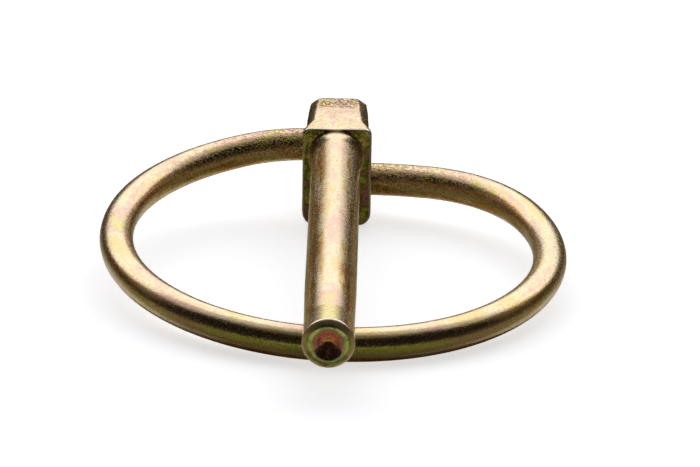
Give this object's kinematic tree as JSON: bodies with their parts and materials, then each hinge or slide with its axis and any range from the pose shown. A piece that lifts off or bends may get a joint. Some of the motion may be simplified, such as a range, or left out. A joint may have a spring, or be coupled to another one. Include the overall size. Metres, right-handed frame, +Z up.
{
  "type": "lynch pin",
  "caption": "Lynch pin: a straight shank with a flat-sided forged head and a sprung wire ring that swings round to lie against the shank near its tip.",
  "frame": {"origin": "on the shank's axis where the shank leaves the head's front face", "axes": "-Y along the shank to its tip, +Y back through the head, +Z up from the closed ring through the shank to the head's top, X across the head along the hinge of the ring"},
  "size_m": [0.0558, 0.0664, 0.0129],
  "materials": {
    "pin_plating": "satin yellow zinc plating",
    "ring_plating": "satin yellow zinc plating"
  },
  "bodies": {
    "pin": {"pin": "pin_plating"},
    "ring": {"ring": "ring_plating"}
  },
  "joints": [
    {"name": "ring_swing", "type": "hinge", "parent": "pin", "child": "ring", "pos_m": [0, 0.00507, -0.00053], "axis": [1, 0, 0], "range_deg": [0, 175], "deforming": ["ring"]}
  ]
}
